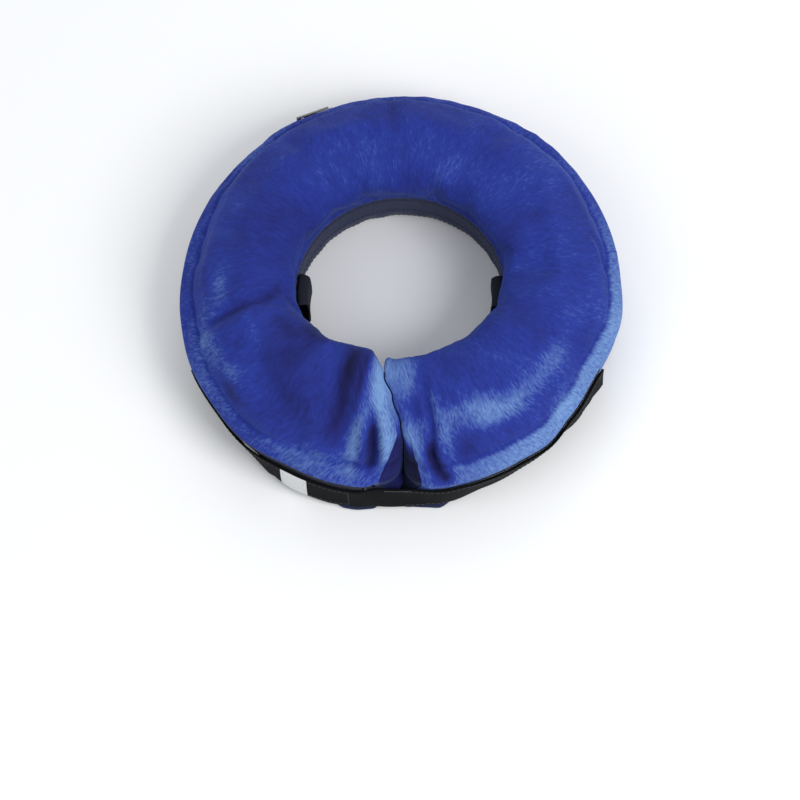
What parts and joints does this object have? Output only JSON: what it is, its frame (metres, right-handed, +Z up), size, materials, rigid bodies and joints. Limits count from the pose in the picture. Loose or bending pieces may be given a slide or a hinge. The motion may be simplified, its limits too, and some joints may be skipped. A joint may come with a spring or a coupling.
{
  "type": "inflatable pet recovery collar",
  "caption": "Plush covered inflatable ring collar for a pet, open at the front, with a hook and loop strap, zipped cover, inner bladder, valve and neck loops.",
  "frame": {"origin": "on the neck axis, in the plane of the flat underside that the ring lies on", "axes": "+Z up along the neck axis to the plush face, -Y towards the slit and strap, +X to the half that the strap closes onto"},
  "size_m": [0.3098, 0.3113, 0.0774],
  "materials": {
    "plush": "short soft plush nap",
    "canvas": "close woven nylon canvas",
    "bladder_film": "translucent vinyl film",
    "zipper_tape": "woven tape",
    "zipper_coil": "nylon coil",
    "zipper_stop": "crimped metal",
    "zipper_metal": "black enamel",
    "strap_webbing": "coarse black webbing",
    "loop_webbing": "black webbing",
    "hook_tape": "moulded hooks",
    "loop_tape": "brushed loops",
    "label_tape": "woven satin tape, blank",
    "binding_tape": "bias binding",
    "valve_vinyl": "soft clear-white vinyl"
  },
  "bodies": {
    "left_half": {"top_panel_left": "plush", "outer_gusset_left": "plush", "lower_wall_left": "canvas", "bottom_panel_left": "canvas", "neck_facing_left": "canvas", "inner_gusset_left": "canvas", "end_panel_left": "plush", "bladder_left": "bladder_film", "zipper_tape_upper": "zipper_tape", "zipper_tape_lower": "zipper_tape", "zipper_coil_upper": "zipper_coil", "zipper_coil_lower": "zipper_coil", "zipper_stop_front": "zipper_stop", "zipper_stop_back": "zipper_stop", "zipper_end_tab_front": "canvas", "zipper_end_tab_back": "canvas", "strap_base": "strap_webbing", "label": "label_tape", "port_binding": "binding_tape", "valve_flange": "valve_vinyl", "neck_loop_left": "loop_webbing", "neck_loop_front_left": "loop_webbing"},
    "right_half": {"top_panel_right": "plush", "outer_gusset_right": "plush", "bottom_panel_right": "canvas", "neck_facing_right": "canvas", "inner_gusset_right": "canvas", "end_panel_right": "plush", "bladder_right": "bladder_film", "loop_patch": "loop_tape", "neck_loop_right": "loop_webbing", "neck_loop_front_right": "loop_webbing"},
    "strap_front": {"strap_front": "strap_webbing", "hook_strip_front": "hook_tape"},
    "strap_middle": {"strap_middle": "strap_webbing", "hook_strip_middle": "hook_tape"},
    "strap_tip": {"strap_tip": "strap_webbing", "hook_strip_tip": "hook_tape"},
    "zipper_slider": {"zipper_slider": "zipper_metal"},
    "zipper_pull": {"zipper_pull": "zipper_metal"},
    "valve_stem": {"valve_stem": "valve_vinyl", "valve_flap": "valve_vinyl"},
    "valve_plug": {"valve_plug": "valve_vinyl"}
  },
  "joints": [
    {"name": "collar_opening", "type": "hinge", "parent": "left_half", "child": "right_half", "pos_m": [0, 0.155, 0.036], "axis": [0, 0, 1], "range_deg": [0, 30], "stiffness_Nm_per_rad": 0.5},
    {"name": "strap_peel_root", "type": "hinge", "parent": "left_half", "child": "strap_front", "pos_m": [-0.02177, -0.15488, 0.0175], "axis": [0, 0, 1], "range_deg": [-50, 0]},
    {"name": "strap_peel_middle", "type": "hinge", "parent": "strap_front", "child": "strap_middle", "pos_m": [0.04573, -0.14957, 0.0175], "axis": [0, 0, 1], "range_deg": [-38, 0]},
    {"name": "strap_peel_tip", "type": "hinge", "parent": "strap_middle", "child": "strap_tip", "pos_m": [0.10465, -0.11623, 0.0175], "axis": [0, 0, 1], "range_deg": [-32, 0]},
    {"name": "zipper_slide", "type": "hinge", "parent": "left_half", "child": "zipper_slider", "pos_m": [0, 0, 0.0345], "axis": [0, 0, 1], "range_deg": [0, 145]},
    {"name": "zipper_pull_swing", "type": "hinge", "parent": "zipper_slider", "child": "zipper_pull", "pos_m": [-0.05893, 0.14585, 0.0345], "axis": [0, 0, 1], "range_deg": [-165, 0]},
    {"name": "valve_stem_pull", "type": "slide", "parent": "left_half", "child": "valve_stem", "axis": [0, 0, -1], "range_m": [0, 0.01]},
    {"name": "valve_plug_pull", "type": "slide", "parent": "valve_stem", "child": "valve_plug", "axis": [0, 0, -1], "range_m": [0, 0.012]}
  ],
  "couplings": [
    {"joint": "strap_peel_root", "follows": "collar_opening", "ratio": -1.6},
    {"joint": "strap_peel_middle", "follows": "collar_opening", "ratio": -1.2},
    {"joint": "strap_peel_tip", "follows": "collar_opening", "ratio": -1}
  ]
}
